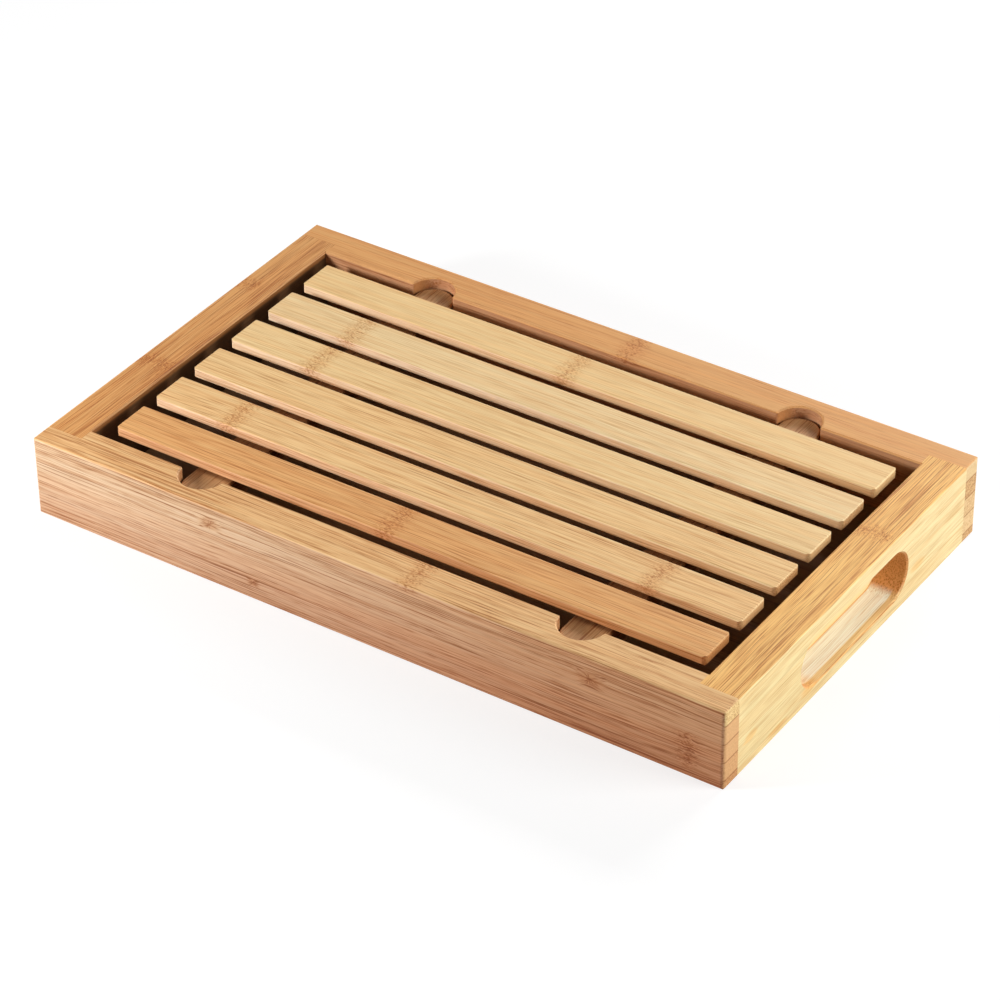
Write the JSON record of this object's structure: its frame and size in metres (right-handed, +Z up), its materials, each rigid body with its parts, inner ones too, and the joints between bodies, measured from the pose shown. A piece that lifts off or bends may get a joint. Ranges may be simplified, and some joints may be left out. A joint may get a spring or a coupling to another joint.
{
  "type": "bread board with crumb catcher",
  "caption": "Rectangular bamboo bread board: a shallow tray with recessed end handles and a lift-out grid of parallel slats that lets crumbs fall onto the panel below.",
  "frame": {"origin": "middle of the footprint, on the surface that the rails stand on", "axes": "+X along the long rails to the right, +Y across the board to the back, +Z up"},
  "size_m": [0.4, 0.24, 0.045],
  "materials": {
    "long_rail_bamboo": "satin oiled laminated bamboo, grain along the rail",
    "short_rail_bamboo": "satin oiled laminated bamboo, grain along the rail",
    "slat_bamboo": "satin oiled bamboo, pale, grain along the slat",
    "crossbar_bamboo": "satin bamboo, browner, grain along the bar",
    "panel_bamboo": "satin bamboo sheet",
    "screw_steel": "zinc-plated wood screw"
  },
  "bodies": {
    "tray": {"front_rail": "long_rail_bamboo", "back_rail": "long_rail_bamboo", "left_rail": "short_rail_bamboo", "right_rail": "short_rail_bamboo", "bottom_panel": "panel_bamboo"},
    "grid": {"slat_1": "slat_bamboo", "slat_2": "slat_bamboo", "slat_3": "slat_bamboo", "slat_4": "slat_bamboo", "slat_5": "slat_bamboo", "slat_6": "slat_bamboo", "left_crossbar": "crossbar_bamboo", "right_crossbar": "crossbar_bamboo", "grid_screws": "screw_steel"}
  },
  "joints": [
    {"name": "grid_lift", "type": "slide", "parent": "tray", "child": "grid", "axis": [0, 0, 1], "range_m": [0, 0.06]}
  ]
}
